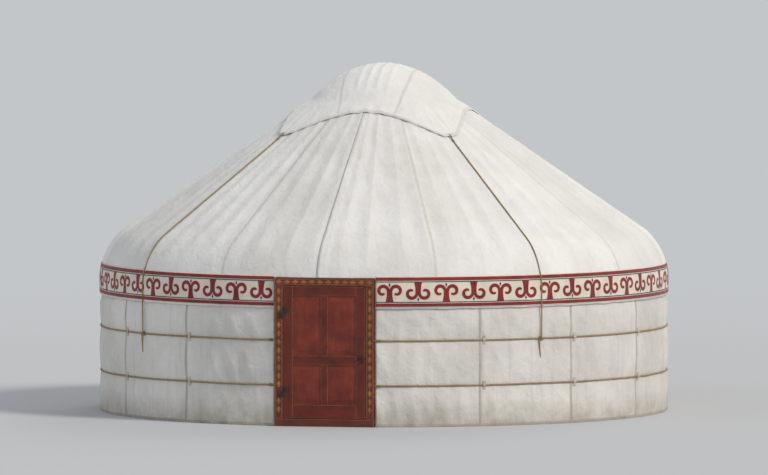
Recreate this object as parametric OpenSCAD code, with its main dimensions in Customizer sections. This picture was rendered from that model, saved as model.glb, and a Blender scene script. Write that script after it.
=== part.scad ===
// A steppe yurt: a folding lattice wall in sections, bent roof poles that rise to a
// domed crown ring, a wooden door in its frame, and canvas-faced felt covers held
// down by ropes. The origin is the middle of the floor circle, and the door faces -Y.

/* [Lattice wall] */
// Distance from the centre to the outside of the lattice
lattice_r = 2980; // [2400:10:3600]
// Number of lattice sections
sections = 6; // [4:1:8]
// Number of cells along one section
cells = 10; // [8:1:12]
// Number of rows of cells
rows = 5; // [4:1:6]
// Height of one cell between crossings
cell_h = 272; // [240:2:300]
// Width of a lath
lath_w = 32; // [24:1:38]
// Thickness of a lath
lath_t = 13; // [10:1:18]
// How far a lath runs past its last crossing
lath_end = 45; // [30:1:60]
// Number of cells in one stretch of a section
stretch_cells = 2; // [1:1:2]

/* [Roof] */
// Slope of the roof above the horizontal
roof_slope = 34.5; // [28:0.5:40]
// How far the roof line's turn starts below the top of the lattice
head_drop = 40; // [20:5:80]
// Bend radius of the roof cover over the wall head
shoulder_r = 640; // [500:10:760]
// Diameter of a roof pole
pole_d = 34; // [28:1:40]
// How far a pole's foot overlaps the lattice below the bend
pole_foot = 150; // [100:5:200]
// Bend radius of a pole
pole_bend = 650; // [500:10:760]
// Number of poles above the door
door_poles = 4; // [2:2:4]
// Thickness of the felt and canvas cover
cover_t = 12; // [8:1:18]
// Room between the wall cover and the roof cover outside it
cover_gap = 4; // [1:0.5:8]

/* [Crown] */
// Outer radius of the crown ring at the pole sockets
crown_r = 680; // [600:10:800]
// Radial thickness of the crown ring
crown_t = 75; // [60:1:90]
// Depth of the crown ring across its face
crown_h = 84; // [70:1:100]
// Side of a square pole tip
tip_w = 20; // [16:1:24]
// Length of a pole tip inside its socket
tip_l = 40; // [30:1:50]
// Rise of the crown slats above the ring
dome_rise = 300; // [220:5:380]
// Number of slats in each direction
slats = 4; // [2:1:5]
// Spacing of the slats
slat_gap = 110; // [80:5:140]
// Width of a slat
slat_w = 30; // [22:1:40]
// Thickness of a slat
slat_t = 18; // [12:1:24]
// Half the side of the square crown cover
crown_cover_half = 970; // [900:10:1100]
// Distance from the centre to the rounded corners of the crown cover
crown_cover_corner = 1290; // [1150:10:1400]

/* [Door] */
// Clear width of the doorway
door_w = 880; // [760:10:960]
// How far the door frame rises above the lattice
frame_over = 105; // [80:5:140]
// Width of a door jamb
jamb_w = 90; // [70:1:120]
// Depth of the door frame
frame_d = 140; // [120:1:170]
// Height of the threshold beam
sill_h = 80; // [60:1:90]
// Height of the lintel
lintel_h = 80; // [70:1:100]
// Thickness of the door leaf
leaf_t = 36; // [28:1:44]
// Gap round the door leaf
leaf_gap = 6; // [5:0.5:8]
// Width of the door's stiles and top rail
stile_w = 95; // [80:1:110]
// Height of the door's bottom rail
foot_rail = 140; // [110:5:170]
// Width of the door's middle stile
mid_stile = 70; // [50:1:90]
// Height of the door's middle rail
mid_rail = 95; // [70:1:120]
// Height of the two lower panels
lower_panel_h = 420; // [300:10:520]
// Depth of the sunk panels on each face
panel_sink = 11; // [6:1:14]
// Gap between the closed leaf and the stops of the frame
stop_gap = 5; // [5:0.5:8]
// Radius of the hinge pins
pin_r = 5; // [4:0.5:6]
// Wall of a knuckle round its pin
knuckle_wall = 4; // [3:0.5:6]
// Height of one hinge knuckle
knuckle_h = 55; // [40:1:70]
// Reach of a hinge plate from the pin
hinge_reach = 60; // [40:1:80]
// How far the hinges stand from the head and the foot of the doorway
hinge_inset = 230; // [150:5:300]
// Height of the handle above the foot of the leaf
handle_h = 640; // [500:10:800]
// Radius of the handle's ring
ring_r = 30; // [24:1:40]
// Radius of the round plate behind the ring
handle_plate_r = 26; // [20:1:34]

/* [Covers and ropes] */
// How far the roof cover hangs below its turn
eave_drop = 155; // [100:5:220]
// Height of the patterned band round the eave
band_h = 320; // [240:5:360]
// Thickness of the patterned band
band_t = 4; // [3:0.5:6]
// Thickness of the ropes round the wall
wall_rope_d = 18; // [14:1:24]
// Heights of the ropes round the wall
wall_rope_z = [430, 900]; // [200:10:1100]
// Thickness of the ropes over the roof
roof_rope_d = 14; // [10:1:18]
// How far these ropes stop short of the crown cover's corners
roof_rope_short = 30; // [20:5:60]
// Seam between two widths of canvas
seam = 0.4; // [0.3:0.1:0.8]
// Clearance between pieces that rest on each other
rest_gap = 0.4; // [0.3:0.1:0.8]

/* [Hidden] */
$fn = 128;
ring_sides = 288;

felt_white = "ivory";
lath_red = "firebrick";
door_red = "brown";
bare_wood = "burlywood";
rope_tan = "tan";
iron = "dimgray";

// The lattice: the door frame closes the ring, and the rest is shared out in equal flat cells.
frame_half = door_w / 2 + jamb_w;
layer_lap = 2;
lattice_in = lattice_r - 2 * lath_t + layer_lap;
door_angle = asin((frame_half + rest_gap) / lattice_in);
pitch = (360 - 2 * door_angle) / (sections * cells);
cell_w = 2 * lattice_r * tan(pitch / 2);
lath_angle = atan2(cell_h, cell_w);
lath_len = norm([cell_w, cell_h]);
lath_join = 3;
cut = 1;
lattice_foot = lath_end * sin(lath_angle) + lath_w / 2 * cos(lath_angle);
lattice_top = rows * cell_h + 2 * lattice_foot;
lath_tip_x = cell_w / 2 + lath_end * cos(lath_angle) + lath_w / 2 * sin(lath_angle);
lattice_tip_r = norm([lattice_r, lath_tip_x]);

// The wall cover is wrapped round the lattice, and the roof cover hangs outside it.
shoulder_z = lattice_top - head_drop;
wall_in = lattice_tip_r + rest_gap;
wall_out = wall_in + cover_t;
wall_top = shoulder_z + cover_gap;
wall_half = asin((frame_half + rest_gap) / wall_in);
roof_in = wall_out + cover_gap;
eave_z = shoulder_z - eave_drop;
eave_out = roof_in + cover_t + rest_gap + band_t;
breadths = 4;
gores = 4;

// The roof line as radius and height: the poles carry the cover on a cone with a round turn.
pole_r = pole_d / 2;
rod_step = 0.1;
rod_start = 3;
turn = 90 - roof_slope;
along = [cos(roof_slope), -sin(roof_slope)];
across = [sin(roof_slope), cos(roof_slope)];
shoulder_c = [roof_in - shoulder_r, shoulder_z];
shoulder_end = shoulder_c + shoulder_r * across;
pole_drop = (pole_r + rest_gap) / cos(roof_slope);
function roof_in_z(r) = shoulder_end[1] + (shoulder_end[0] - r) * tan(roof_slope);
function pole_z(r) = roof_in_z(r) - pole_drop;
foot_r = (lattice_in - pole_r - rest_gap) / cos(pitch / 2);
bend_c = [foot_r - pole_bend, pole_z(foot_r) - pole_bend * tan(turn / 2)];

// The crown ring's outer face is square to the poles, which stop on it with a tip inside.
crown_face = [crown_r, pole_z(crown_r)];
function by_ring(out, up) = crown_face + along * out + across * up;
pole_len = norm(bend_c + pole_bend * across - crown_face);
half_h = crown_h / 2;
socket_slack = 0.4;

// The slats stand on the ring's upper face and lie inside one dome.
dome_edge = by_ring(-crown_t / 2, half_h);
dome_r = (dome_edge[0] * dome_edge[0] + dome_rise * dome_rise) / (2 * dome_rise);
dome_z = dome_edge[1] + dome_rise - dome_r;

// The crown cover leaves the dome on a tangent that runs over the ring's outer edge.
dome_c = [0, dome_z];
rim = by_ring(0, half_h) - dome_c;
leave = atan2(rim[0], rim[1]) - acos(dome_r / norm(rim));
leave_n = [sin(leave), cos(leave)];
roof_lift = pole_r + rest_gap + cover_t;
function crossing(n1, d1, n2, d2) =
    [d1 * n2[1] - d2 * n1[1], n1[0] * d2 - n2[0] * d1] / (n1[0] * n2[1] - n2[0] * n1[1]);

// The door hardware stands out just as far as the eave, in front of the frame.
plate_t = 3;
plate_gap = 0.3;
knuckle_r = pin_r + knuckle_wall;
frame_front = -(eave_out - 2 * knuckle_r - plate_gap);
frame_back = frame_front + frame_d;
frame_h = lattice_top + frame_over;
door_h = frame_h - sill_h - lintel_h;
rebate = 15;
stop_y = frame_front + leaf_t + stop_gap;
leaf_w = door_w - 2 * leaf_gap;
leaf_h = door_h - 2 * leaf_gap;
hinge_x = -door_w / 2 + leaf_gap / 2;
hinge_y = frame_front - knuckle_r - plate_gap;
hinge_zs = [sill_h + hinge_inset, sill_h + door_h - hinge_inset - 2 * knuckle_h];
knuckle_play = 1;
pin_clear = 0.05;

// Turns what is drawn on the XZ plane, with X outward, to an angle from the door.
module at(angle) {
    rotate([0, 0, angle - 90]) children();
}

module box(low, high) {
    translate(low) cube(high - low);
}

// A flat cell's bar between two heights, on its layer, and longer at either end if asked.
module bar(z0, z1, inner, more0, more1) {
    rise = z1 > z0 ? 1 : -1;
    run = lath_len + more0 + more1;
    x0 = inner ? lattice_in : lattice_r - lath_t;
    translate([x0, -cell_w / 2, z0]) rotate([rise * lath_angle, 0, 0])
        translate([0, -more0, -lath_w / 2]) cube([lath_t, run, lath_w]);
}

// One flat cell column: a rising bar inside and a falling bar outside in each row.
module cell_column() {
    for (k = [0:rows - 1]) {
        low = lattice_foot + k * cell_h;
        high = low + cell_h;
        foot = k == 0 ? lath_end : lath_join;
        head = k == rows - 1 ? lath_end : lath_join;
        bar(low, high, true, foot, head);
        bar(high, low, false, head, foot);
    }
}

// A section runs from the middle of one cell to the middle of another, or to the door frame, so that
// all the heads are whole. It is in stretches that are nearly flat, with a hair between them.
module lattice_section(s) {
    count = ceil(cells / stretch_cells);
    starts = [for (g = [0:count - 1]) (s - 1) * cells + 0.5 + g * stretch_cells];
    last_line = s == sections ? s * cells : s * cells + 0.5;
    color(lath_red) for (g = [0:count - 1]) {
        from = s == 1 && g == 0 ? 0 : starts[g];
        to = g < count - 1 ? starts[g + 1] : last_line;
        difference() {
            for (c = [floor(from):ceil(to) - 1]) at(door_angle + (c + 0.5) * pitch) cell_column();
            lattice_end(from, -cell_w, rest_gap / 2);
            lattice_end(to, -rest_gap / 2, cell_w);
        }
    }
}

// What is cut off a stretch of lattice beside an upright line, counted in cells from the door frame.
module lattice_end(line, y0, y1) {
    at(door_angle + line * pitch)
        box([lattice_in - cell_w, y0, -cut], [lattice_r + cell_w, y1, lattice_top + cut]);
}

// A rod that stands upright, bends inward by the roof's turn and runs up the slope. Its straight
// lengths are a hair thinner than the bend and start inside it.
module bent_rod(rod_r, centre, bend, foot, shaft) {
    straight_r = rod_r - rod_step;
    if (foot > 0) translate([centre[0] + bend, 0, centre[1] - foot])
        cylinder(r = straight_r, h = foot + rod_start);
    translate([centre[0], 0, centre[1]]) {
        rotate([90, 0, 0]) rotate_extrude(angle = turn) translate([bend, 0]) circle(r = rod_r);
        rotate([0, -turn, 0]) translate([bend, 0, -rod_start])
            cylinder(r = straight_r, h = shaft + rod_start);
    }
}

// A roof pole, with the square tip that goes into the crown ring.
module pole(foot) {
    bent_rod(pole_r, bend_c, pole_bend, foot, pole_len - rest_gap);
    translate([crown_r, 0, crown_face[1]]) rotate([0, -turn, 0])
        translate([-tip_w / 2, -tip_w / 2, -2 * tip_l]) cube([tip_w, tip_w, 3 * tip_l]);
}

module roof_poles(s) {
    last = s == sections ? cells - 1 : cells;
    color(lath_red)
        for (c = [1:last]) at(door_angle + ((s - 1) * cells + c) * pitch) pole(pole_foot);
}

function door_pole_angle(i) = (i - (door_poles - 1) / 2) * pitch;

// The poles over the door have no foot and are cut level where they stand on the lintel.
module roof_poles_door() {
    color(lath_red)
        for (i = [0:door_poles - 1]) at(door_pole_angle(i)) difference() {
            pole(0);
            box([bend_c[0], -pole_d, 0], [foot_r + pole_d, pole_d, frame_h + rest_gap]);
        }
}

module socket() {
    side = tip_w + 2 * socket_slack;
    translate([crown_r, 0, crown_face[1]]) rotate([0, -turn, 0])
        translate([-side / 2, -side / 2, -tip_l]) cube([side, side, 2 * tip_l + socket_slack]);
}

module crown_ring() {
    color(lath_red) difference() {
        rotate_extrude() polygon([
            by_ring(0, -half_h), by_ring(0, half_h), by_ring(-crown_t, half_h), by_ring(-crown_t, -half_h)]);
        for (c = [1:sections * cells - 1]) at(door_angle + c * pitch) socket();
        for (i = [0:door_poles - 1]) at(door_pole_angle(i)) socket();
    }
}

// A set of parallel bent slats whose outer edges lie on a ball of the given radius.
module slat_set(ball_r) {
    for (i = [0:slats - 1]) {
        y = (i - (slats - 1) / 2) * slat_gap;
        arc_r = sqrt(pow(ball_r, 2) - pow(abs(y) + slat_w / 2, 2));
        translate([0, y + slat_w / 2, dome_z]) rotate([90, 0, 0]) linear_extrude(slat_w) difference() {
            circle(r = arc_r);
            circle(r = arc_r - slat_t);
        }
    }
}

// The slats end on the ring's upper and inner faces.
module crown_slats() {
    top = dome_z + dome_r + cut;
    low_in = by_ring(-crown_t - rest_gap, -half_h);
    high_in = by_ring(-crown_t - rest_gap, half_h + rest_gap);
    high_out = by_ring(0, half_h + rest_gap);
    color(lath_red) intersection() {
        union() {
            slat_set(dome_r);
            rotate([0, 0, 90]) slat_set(dome_r - slat_t + layer_lap);
        }
        rotate_extrude() polygon([[0, low_in[1]], low_in, high_in, high_out, [high_out[0], top], [0, top]]);
    }
}

// A wall cover is four widths of canvas-faced felt, side by side.
module wall_cover(quarter) {
    span = (360 - 2 * wall_half) / (4 * breadths);
    gap = seam / wall_in * 180 / PI;
    color(felt_white)
        for (b = [0:breadths - 1])
            at(wall_half + (quarter * breadths + b) * span + gap / 2)
                rotate_extrude(angle = span - gap) translate([wall_in, 0]) square([cover_t, wall_top]);
}

// The roof cover's section from the eave, round the turn and up to the crown ring.
module roof_section() {
    top = by_ring(rest_gap, pole_r + rest_gap);
    translate([roof_in, eave_z]) square([cover_t, eave_drop]);
    intersection() {
        translate(shoulder_c) difference() {
            circle(r = shoulder_r + cover_t);
            circle(r = shoulder_r);
        }
        translate(shoulder_c) polygon([
            [0, 0], [2 * shoulder_r, 0], [2 * shoulder_r, 2 * shoulder_r * tan(turn)]]);
    }
    polygon([shoulder_end, shoulder_end + cover_t * across, top + cover_t * across, top]);
}

// The space that the door frame takes out of what passes behind it, up to a height.
module door_cut(height) {
    box([-frame_half - rest_gap, frame_front - frame_d, -cut],
        [frame_half + rest_gap, frame_back + frame_d, height]);
}

module roof_cover(quarter) {
    span = 90 / gores;
    gap = seam / crown_r * 180 / PI;
    color(felt_white) difference() {
        for (g = [0:gores - 1])
            at((quarter * gores + g) * span + gap / 2)
                rotate_extrude(angle = span - gap) roof_section();
        door_cut(frame_h + rest_gap);
    }
}

// The space under a skin that lies over the dome, the ring's edge and the roof cover.
module under_crown_cover(lift, reach) {
    leave_at = dome_c + leave_n * (dome_r + lift);
    roof_d = roof_lift + lift + across * crown_face;
    meet = crossing(leave_n, dome_r + lift + leave_n * dome_c, across, roof_d);
    low = meet + along * (reach - meet[0]) / along[0];
    rotate_extrude() {
        polygon([[0, 0], [reach, 0], low, meet, leave_at, [0, leave_at[1]]]);
        intersection() {
            translate(dome_c) circle(r = dome_r + lift);
            translate([0, leave_at[1]]) square([leave_at[0] + cut, 2 * dome_rise]);
        }
    }
}

// The crown cover is a square of canvas with rounded corners, over the slats and the upper roof.
module crown_cover() {
    color(felt_white) intersection() {
        difference() {
            under_crown_cover(rest_gap + cover_t, crown_cover_corner);
            under_crown_cover(rest_gap, crown_cover_corner + cut);
        }
        box([-crown_cover_half, -crown_cover_half, 0],
            [crown_cover_half, crown_cover_half, dome_z + 2 * dome_r]);
    }
}

module eave_band() {
    inner = shoulder_r + cover_t + rest_gap;
    color("slategray") difference() {
        rotate_extrude($fn = ring_sides) {
            translate([shoulder_c[0] + inner, eave_z]) square([band_t, eave_drop]);
            intersection() {
                translate(shoulder_c) difference() {
                    circle(r = inner + band_t);
                    circle(r = inner);
                }
                translate(shoulder_c) square([2 * inner, band_h - eave_drop]);
            }
        }
        door_cut(shoulder_z + band_h);
    }
}

module wall_rope(z) {
    rope_r = wall_out + wall_rope_d / 2 + rest_gap;
    half = asin((frame_half + rest_gap) / (rope_r - wall_rope_d / 2));
    color(rope_tan) at(half) rotate_extrude(angle = 360 - 2 * half, $fn = ring_sides)
        translate([rope_r, z]) circle(d = wall_rope_d, $fn = 32);
}

// Ropes from the corners of the crown cover, over the eave and down to the upper wall rope.
module roof_ropes() {
    rope_r = roof_rope_d / 2;
    lift = cover_t + band_t + 2 * rest_gap + rope_r;
    shaft = (shoulder_end[0] - crown_cover_corner) / along[0] - roof_rope_short;
    color(rope_tan) for (a = [45:90:315])
        at(a) bent_rod(rope_r, shoulder_c, shoulder_r + lift, shoulder_z - wall_rope_z[1], shaft);
}

module door_sill() {
    color(bare_wood) box([-frame_half, frame_front, 0], [frame_half, frame_back, sill_h]);
}

module door_lintel() {
    color(bare_wood) {
        box([-frame_half, frame_front, sill_h + door_h], [frame_half, frame_back, frame_h]);
        box([-door_w / 2 + rebate, stop_y, sill_h + door_h - rebate],
            [door_w / 2 - rebate, frame_back, sill_h + door_h]);
    }
}

module door_jamb(side) {
    color(bare_wood) mirror([side < 0 ? 1 : 0, 0, 0]) translate([0, 0, sill_h]) linear_extrude(door_h)
        polygon([
            [door_w / 2, frame_front], [frame_half, frame_front], [frame_half, frame_back],
            [door_w / 2 - rebate, frame_back], [door_w / 2 - rebate, stop_y], [door_w / 2, stop_y]]);
}

// The leaf is framed, with two columns of two sunk panels on either face.
module door_leaf() {
    x0 = -leaf_w / 2;
    z0 = sill_h + leaf_gap;
    panel_w = (leaf_w - 2 * stile_w - mid_stile) / 2;
    upper_z = foot_rail + lower_panel_h + mid_rail;
    upper_h = leaf_h - upper_z - stile_w;
    color(door_red) difference() {
        translate([x0, frame_front, z0]) cube([leaf_w, leaf_t, leaf_h]);
        for (x = [stile_w, stile_w + panel_w + mid_stile])
            for (zh = [[foot_rail, lower_panel_h], [upper_z, upper_h]])
                for (y = [frame_front - cut, frame_front + leaf_t - panel_sink])
                    translate([x0 + x, y, z0 + zh[0]]) cube([panel_w, panel_sink + cut, zh[1]]);
    }
}

// A pull ring on a round plate, no prouder than the hinges. The ring hangs in the end of its boss.
module door_handle() {
    x = leaf_w / 2 - stile_w / 2;
    z = sill_h + leaf_gap + handle_h;
    wire_r = pin_r;
    boss_r = wire_r + 3;
    proud = 2 * knuckle_r;
    color(iron) {
        translate([x, frame_front, z]) rotate([90, 0, 0]) cylinder(r = handle_plate_r, h = plate_t);
        translate([x, frame_front - plate_t, z]) rotate([90, 0, 0]) cylinder(r = boss_r, h = proud - plate_t);
        translate([x, frame_front - proud + wire_r, z - ring_r + boss_r - wire_r]) rotate([90, 0, 0])
            rotate_extrude() translate([ring_r, 0]) circle(r = wire_r);
    }
}

// The plate of a hinge half, on one side of the pin line.
module hinge_plate(x0, x1, z, h) {
    box([hinge_x + x0, frame_front - plate_gap - plate_t, z], [hinge_x + x1, frame_front - plate_gap, z + h]);
}

module hinge_pins() {
    color(iron) for (z = hinge_zs) {
        translate([hinge_x, hinge_y, z]) cylinder(r = knuckle_r, h = knuckle_h);
        translate([hinge_x, hinge_y, z]) cylinder(r = pin_r, h = 2 * knuckle_h);
        hinge_plate(-hinge_reach, -leaf_gap / 2, z, knuckle_h);
    }
}

module hinge_knuckles() {
    h = knuckle_h - knuckle_play;
    color(iron) for (z = hinge_zs) translate([0, 0, knuckle_h + knuckle_play]) difference() {
        union() {
            translate([hinge_x, hinge_y, z]) cylinder(r = knuckle_r, h = h);
            hinge_plate(leaf_gap / 2 + knuckle_play, hinge_reach, z, h);
        }
        translate([hinge_x, hinge_y, z - cut]) cylinder(r = pin_r + pin_clear, h = h + 2 * cut);
    }
}

door_sill();
door_jamb(-1);  // door_jamb_left
door_jamb(1);  // door_jamb_right
door_lintel();
door_leaf();
door_handle();
hinge_pins();
hinge_knuckles();
for (s = [1:sections])
    lattice_section(s);
for (s = [1:sections])
    roof_poles(s);
roof_poles_door();
crown_ring();
crown_slats();
wall_cover(0);  // wall_cover_front_right
wall_cover(1);  // wall_cover_back_right
wall_cover(2);  // wall_cover_back_left
wall_cover(3);  // wall_cover_front_left
roof_cover(0);  // roof_cover_front_right
roof_cover(1);  // roof_cover_back_right
roof_cover(2);  // roof_cover_back_left
roof_cover(3);  // roof_cover_front_left
crown_cover();
eave_band();
wall_rope(wall_rope_z[0]);  // wall_rope_lower
wall_rope(wall_rope_z[1]);  // wall_rope_upper
roof_ropes();
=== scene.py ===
# A steppe yurt, dressed in the order in which it is put up: door frame and door, lattice wall, crown and
# roof poles, felt and canvas covers, patterned eave band, crown cover, and the ropes that hold it all down.
import functools
import math

import bmesh
import bpy
import numpy as np
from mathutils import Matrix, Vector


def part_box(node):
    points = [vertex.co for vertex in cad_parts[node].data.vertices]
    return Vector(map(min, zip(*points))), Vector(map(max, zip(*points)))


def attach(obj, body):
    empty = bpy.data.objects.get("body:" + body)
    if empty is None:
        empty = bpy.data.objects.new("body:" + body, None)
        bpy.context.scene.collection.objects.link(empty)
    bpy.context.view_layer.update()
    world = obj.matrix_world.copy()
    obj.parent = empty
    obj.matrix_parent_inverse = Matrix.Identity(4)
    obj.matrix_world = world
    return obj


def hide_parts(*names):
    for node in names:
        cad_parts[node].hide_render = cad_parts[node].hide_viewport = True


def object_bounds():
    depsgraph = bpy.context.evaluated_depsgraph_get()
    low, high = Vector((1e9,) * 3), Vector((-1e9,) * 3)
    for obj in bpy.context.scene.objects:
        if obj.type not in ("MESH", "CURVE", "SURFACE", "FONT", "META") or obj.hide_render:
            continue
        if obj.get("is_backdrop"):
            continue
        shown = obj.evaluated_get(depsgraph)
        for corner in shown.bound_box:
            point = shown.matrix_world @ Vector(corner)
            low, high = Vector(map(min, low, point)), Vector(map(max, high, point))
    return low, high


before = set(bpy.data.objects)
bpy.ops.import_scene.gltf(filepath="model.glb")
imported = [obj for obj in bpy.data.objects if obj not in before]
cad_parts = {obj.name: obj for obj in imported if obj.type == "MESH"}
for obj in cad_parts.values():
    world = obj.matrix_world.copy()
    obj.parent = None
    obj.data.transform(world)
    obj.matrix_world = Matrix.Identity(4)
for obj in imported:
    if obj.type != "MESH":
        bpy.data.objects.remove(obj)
cad_box = [list(corner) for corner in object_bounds()]


# Camera: a long lens from well off, a little to the right of the door and three degrees above the ground,
# which is how the photograph looks at the yurt.
camera_turn, camera_lift = math.radians(12), math.radians(3)
camera_far, frame_share = 150.0, 0.74
aim = (0.0, 0.0, cad_box[1][2] / 2 - 0.02)
back = (
    math.sin(camera_turn) * math.cos(camera_lift),
    -math.cos(camera_turn) * math.cos(camera_lift),
    math.sin(camera_lift),
)
scene = bpy.context.scene
scene.view_settings.view_transform = "Standard"
long_lens = bpy.data.cameras.new("long_lens")
long_lens.sensor_width = 36
long_lens.lens = long_lens.sensor_width * camera_far * frame_share / (cad_box[1][0] - cad_box[0][0])
long_lens.clip_end = 400
camera = bpy.data.objects.new("camera", long_lens)
scene.collection.objects.link(camera)
camera.location = [a + camera_far * b for a, b in zip(aim, back)]
camera.rotation_euler = (math.pi / 2 - camera_lift, 0, camera_turn)
scene.camera = camera


# Studio: a pale floor that runs out into a backdrop of the same tone, a broad soft key from the right with a
# weak fill and rim, and an even sky, set so that a colour renders about as it is written.
def linear(code):
    """An sRGB hex colour as the linear colour that shaders take."""
    parts = [int(code[i:i + 2], 16) / 255 for i in (1, 3, 5)]
    return [c / 12.92 if c <= 0.04045 else ((c + 0.055) / 1.055) ** 2.4 for c in parts] + [1.0]


def node(tree, kind, *feeds, stops=(), **named):
    """Adds one shader node. Its sockets in use come in order or by name, with a capital and _ for a space.
    Each gets a value, a hex colour or what feeds it: an output, or a node for its first output in use. Names
    in small letters are the node's settings, and stops the places and hex colours of a colour ramp."""
    made = tree.nodes.new("ShaderNode" + kind)
    settings = {key: value for key, value in named.items() if key.islower()}
    for key, value in settings.items():
        setattr(made, key, value)
    in_use = [socket for socket in made.inputs if socket.enabled]
    by_name = {socket.name.replace(" ", "_"): socket for socket in in_use}
    fed = [(by_name[key], value) for key, value in named.items() if key not in settings]
    for socket, value in [*zip(in_use, feeds), *fed]:
        if isinstance(value, bpy.types.Node):
            value = next(out for out in value.outputs if out.enabled)
        if isinstance(value, bpy.types.NodeSocket):
            tree.links.new(value, socket)
        else:
            socket.default_value = linear(value) if isinstance(value, str) else value
    if stops:
        elements = made.color_ramp.elements
        while len(elements) < len(stops):
            elements.new(0.5)
        for element, (position, code) in zip(elements, stops):
            element.position = position
            element.color = linear(code)
    return made


def nodes_for(owner):
    """Clears the nodes of a world or material, and gives the function that adds new ones to it."""
    owner.use_nodes = True
    owner.node_tree.nodes.clear()
    return functools.partial(node, owner.node_tree)


def mesh_object(name, corners, faces, materials, slots, smooth):
    """A new object, with the number of its material and its shading for each face."""
    mesh = bpy.data.meshes.new(name)
    mesh.from_pydata(corners, [], faces)
    for m in materials:
        mesh.materials.append(m)
    mesh.polygons.foreach_set("material_index", slots)
    mesh.polygons.foreach_set("use_smooth", smooth)
    made = bpy.data.objects.new(name, mesh)
    scene.collection.objects.link(made)
    return made


def oval(centre, across, along, sides):
    """Points round an oval, from its centre and its two half axes."""
    w = 2 * np.pi * np.arange(sides) / sides
    return np.array(centre) + np.outer(np.cos(w), across) + np.outer(np.sin(w), along)


backdrop = "#C3C6C9"
floor_near, floor_far, floor_r = 7.0, 26.0, 90.0
scene.world = bpy.data.worlds.new("even_sky")
add = nodes_for(scene.world)
rays = add("LightPath").outputs
seen = add("Math", rays["Is Camera Ray"], rays["Is Glossy Ray"], operation="MAXIMUM")
seen = add("Math", seen, rays["Is Transmission Ray"], operation="MAXIMUM")
sky = add("Background", Color="#EEF2F8", Strength=0.50)
far = add("Background", Color=backdrop, Strength=1.0)
add("OutputWorld", add("MixShader", seen, sky, far))

for name, turn, lift, strength, size, colour in (
    ("key", 66, 36, 2.00, 14, "#FFF8F0"),
    ("fill", -62, 24, 0.32, 40, "#EEF3FF"),
    ("rim", 168, 32, 0.55, 30, "#FFF9F3"),
):
    lamp = bpy.data.lights.new(name, "SUN")
    lamp.energy = strength
    lamp.angle = math.radians(size)
    lamp.color = linear(colour)[:3]
    light = bpy.data.objects.new(name, lamp)
    scene.collection.objects.link(light)
    light.rotation_euler = (math.pi / 2 - math.radians(lift), 0, math.radians(turn))

floor_paint = bpy.data.materials.new("pale_floor")
add = nodes_for(floor_paint)
reach = add("VectorMath", add("TexCoord").outputs["Object"], operation="LENGTH")
fade = add("MapRange", reach, floor_near, floor_far, interpolation_type="SMOOTHSTEP")
paint = add("BsdfDiffuse", Color="#C6C8CA")
glow = add("Emission", Color=backdrop, Strength=1.0)
add("OutputMaterial", add("MixShader", fade, paint, glow))
floor_edge = oval((0, 0, -0.0005), (floor_r, 0, 0), (0, floor_r, 0), 96).tolist()
floor = mesh_object("floor", floor_edge, [range(96)], [floor_paint], [0], [False])
floor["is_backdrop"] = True


# Door frame: a pine threshold, two jambs with stops and a lintel, pegged together and painted with red oxide
# oil paint, which has worn to bare wood along the arrises and where feet cross the threshold.
def material(name):
    """A new material and the function that adds its nodes."""
    made = bpy.data.materials.new(name)
    return made, nodes_for(made)


def surface(made, **sockets):
    """Finishes a material with one Principled shader and what its sockets are set to or fed by."""
    tree = made.node_tree
    node(tree, "OutputMaterial", node(tree, "BsdfPrincipled", **sockets))
    return made


def oil_painted_pine(name, paint, dark, grain, wear=0.5):
    """Oil paint brushed on pine: satin, with brush marks along the grain and the wood bare on its edges."""
    made, add = material(name)
    place = add("TexCoord").outputs["Object"]
    # Growth rings of pine are 2 to 4 mm apart, and run on for about half a metre before they change.
    along = add("Mapping", Vector=place, Scale=grain)
    rings = add("TexNoise", Vector=along, Scale=1.0, Detail=5.0, Roughness=0.6)
    cloud = add("TexNoise", Vector=place, Scale=5.0, Detail=4.0, Roughness=0.6)
    chips = add("TexNoise", Vector=place, Scale=38.0, Detail=6.0, Roughness=0.7)
    tone = add("ValToRGB", cloud, stops=[(0.32, dark), (0.68, paint)])
    streak = add("Mix", Factor=rings, A=tone, B=dark, data_type="RGBA", blend_type="MULTIPLY")
    bare = add("ValToRGB", rings, stops=[(0.35, "#B08A5C"), (0.65, "#8A6240")])
    edge = add("Bevel", Radius=0.007, samples=4)
    facing = add("VectorMath", edge, add("NewGeometry").outputs["Normal"], operation="DOT_PRODUCT")
    rub = add("MapRange", facing, 0.995, 0.90, 0.0, 1.0)
    worn = add("Math", rub, wear, chips, operation="MULTIPLY_ADD")
    worn = add("MapRange", worn, 0.70, 0.80)
    colour = add("Mix", Factor=worn, A=streak, B=bare, data_type="RGBA")
    gloss = add("MapRange", worn, 0, 1, 0.42, 0.78)
    grooves = add("Bump", Height=rings, Strength=0.45, Distance=0.0006)
    bump = add("Bump", Height=worn, Normal=grooves, Strength=0.6, Distance=0.0005, invert=True)
    return surface(made, Base_Color=colour, Roughness=gloss, Normal=bump, IOR=1.48)


def grid_faces(rows, columns, closed=False):
    """The faces of a grid of corners, counted row after row. A closed one goes all the way round."""
    ids = np.arange(rows * columns).reshape(rows, columns)
    if closed:
        ids = np.concatenate([ids, ids[:, :1]], 1)
    return np.stack([ids[:-1, :-1], ids[:-1, 1:], ids[1:, 1:], ids[1:, :-1]], -1)


def stacked(rings, tip=None, base=True):
    """The corners and faces of a solid from rings of corners, with lids at its ends or a tip at its last."""
    sides = len(rings[0])
    last = (len(rings) - 1) * sides
    faces = grid_faces(len(rings), sides, closed=True).reshape(-1, 4).tolist()
    if base:
        faces.append(list(range(sides))[::-1])
    if tip is None:
        faces.append(list(range(last, last + sides)))
        return np.concatenate(rings), faces
    faces += [[last + i, last + (i + 1) % sides, last + sides] for i in range(sides)]
    return np.concatenate([*rings, [tip]]), faces


def prism(outline, low, high):
    """An upright solid with that outline."""
    return stacked([[(x, y, z) for x, y in outline] for z in (high, low)])


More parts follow.
